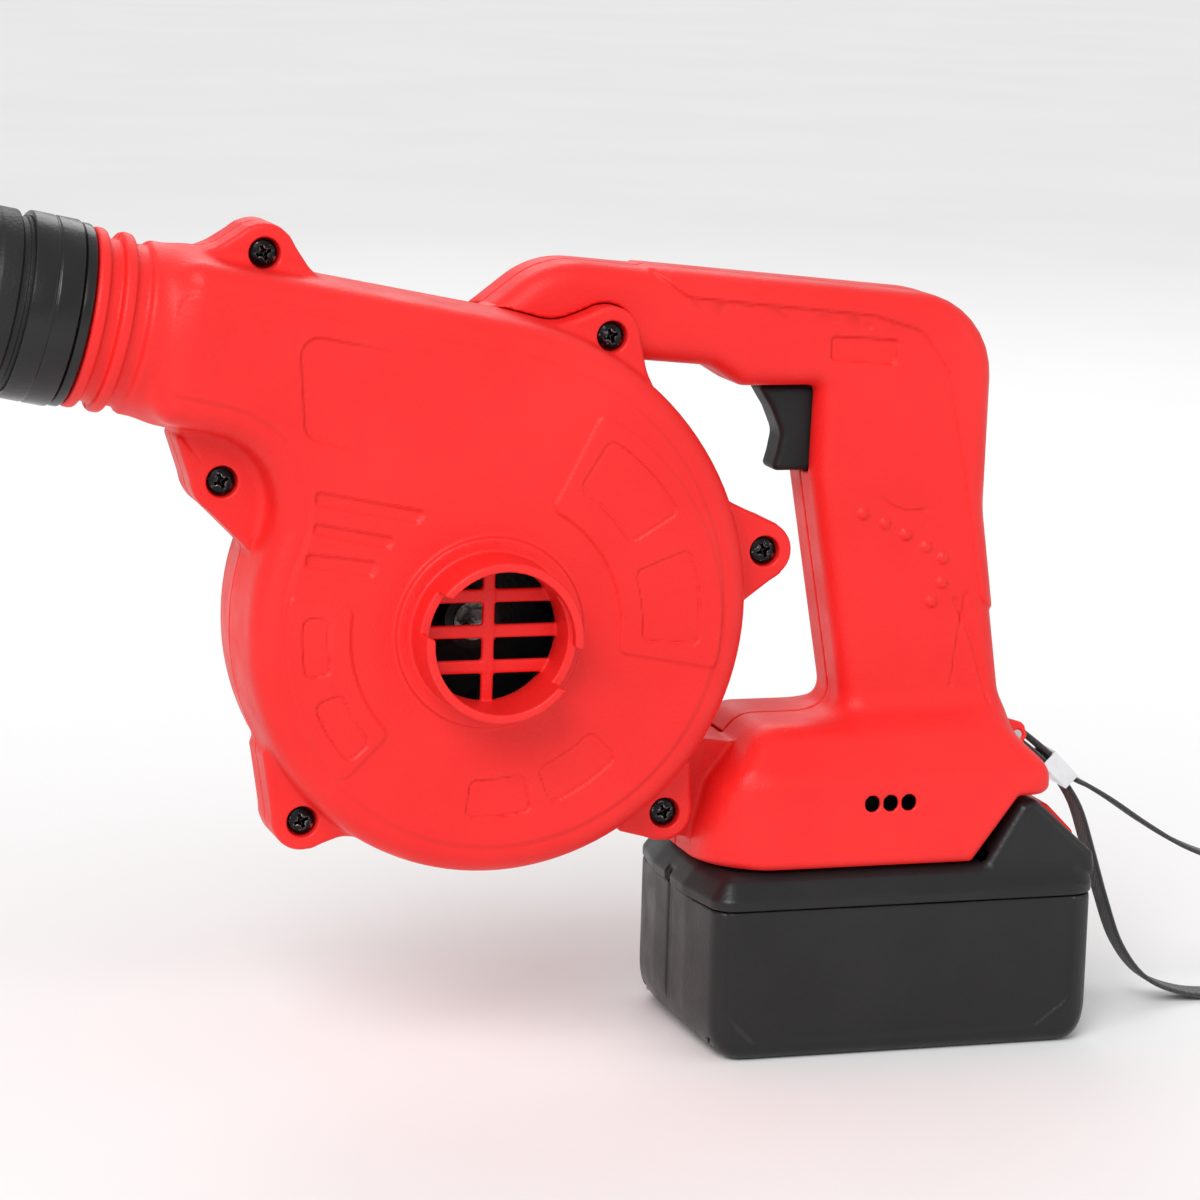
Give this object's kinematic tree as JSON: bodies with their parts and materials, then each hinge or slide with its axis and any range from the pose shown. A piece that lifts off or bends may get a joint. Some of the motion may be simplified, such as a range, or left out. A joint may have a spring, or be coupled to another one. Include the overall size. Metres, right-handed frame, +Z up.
{
  "type": "car dryer blower",
  "caption": "Cordless hand blower for drying a car: spiral fan housing with a side intake, D-shaped handle, push-on nozzle and sliding battery pack with a wrist strap.",
  "frame": {"origin": "on the underside of the battery pack, below the grip, in the handle's middle plane", "axes": "+Z up, -X toward the nozzle, -Y toward the side that carries the intake collar"},
  "size_m": [0.5347, 0.11, 0.256],
  "materials": {
    "red_shell": "fine moulded texture, satin",
    "black_moulding": "moulded, matte",
    "nozzle_ring_black": "moulded, satin",
    "battery_black": "satin",
    "button_red": "satin",
    "screw_steel": "black oxide, bright at the recess",
    "plain_steel": "drawn",
    "copper": "enamelled wire",
    "magnet": "sintered",
    "carbon": "pressed carbon",
    "tinned_contact": "tinned",
    "cell_wrap": "shrink wrap",
    "board_green": "solder mask",
    "webbing_black": "woven",
    "crimp_bright": "pressed"
  },
  "bodies": {
    "main": {"fan_cover": "red_shell", "body_shell_near": "red_shell", "body_shell_far": "red_shell", "cover_screws": "screw_steel", "shell_screws": "screw_steel", "motor_can": "plain_steel", "motor_magnets": "magnet", "motor_end_cap": "black_moulding", "motor_brushes": "carbon", "motor_bearings": "copper", "motor_screws": "screw_steel", "trigger_spring": "plain_steel", "switch_body": "black_moulding", "switch_tabs": "tinned_contact", "terminal_block": "black_moulding", "contact_blades": "tinned_contact", "strap_pin": "plain_steel", "strap_webbing": "webbing_black", "strap_crimp": "crimp_bright"},
    "rotor": {"impeller": "black_moulding", "impeller_washer": "screw_steel", "impeller_nut": "screw_steel", "motor_shaft": "plain_steel", "armature_core": "plain_steel", "armature_windings": "copper", "commutator": "copper"},
    "nozzle_seat": {"nozzle_ring": "nozzle_ring_black"},
    "nozzle": {"nozzle_collar": "black_moulding", "nozzle_tube": "black_moulding"},
    "trigger": {"trigger": "black_moulding", "trigger_plunger": "plain_steel"},
    "battery": {"battery_case": "battery_black", "battery_lid": "battery_black", "battery_cells": "cell_wrap", "cell_holders": "black_moulding", "cell_straps": "tinned_contact", "battery_board": "board_green", "battery_clips": "tinned_contact", "battery_screws": "screw_steel", "button_spring": "plain_steel"},
    "button": {"release_button": "button_red"}
  },
  "joints": [
    {"name": "fan_spin", "type": "hinge", "parent": "main", "child": "rotor", "pos_m": [-0.1265, -0.0115, 0.1285], "axis": [0, 1, 0], "continuous": true},
    {"name": "nozzle_turn", "type": "hinge", "parent": "main", "child": "nozzle_seat", "pos_m": [-0.23972, -0.0115, 0.21458], "axis": [-0.9803, 0, 0.1977], "range_deg": [0, 30]},
    {"name": "nozzle_pull", "type": "slide", "parent": "nozzle_seat", "child": "nozzle", "axis": [-0.9803, 0, 0.1977], "range_m": [0, 0.018]},
    {"name": "trigger_press", "type": "slide", "parent": "main", "child": "trigger", "axis": [1, 0, 0], "range_m": [0, 0.006], "stiffness_N_per_m": 800, "springref_m": -0.001, "deforming": ["trigger_spring"]},
    {"name": "battery_slide", "type": "slide", "parent": "main", "child": "battery", "axis": [1, 0, 0], "range_m": [0, 0.07], "deforming": ["strap_webbing", "strap_crimp"]},
    {"name": "button_press", "type": "slide", "parent": "battery", "child": "button", "axis": [0, 0, -1], "range_m": [0, 0.003], "stiffness_N_per_m": 1200, "springref_m": -0.001, "deforming": ["button_spring"]}
  ]
}
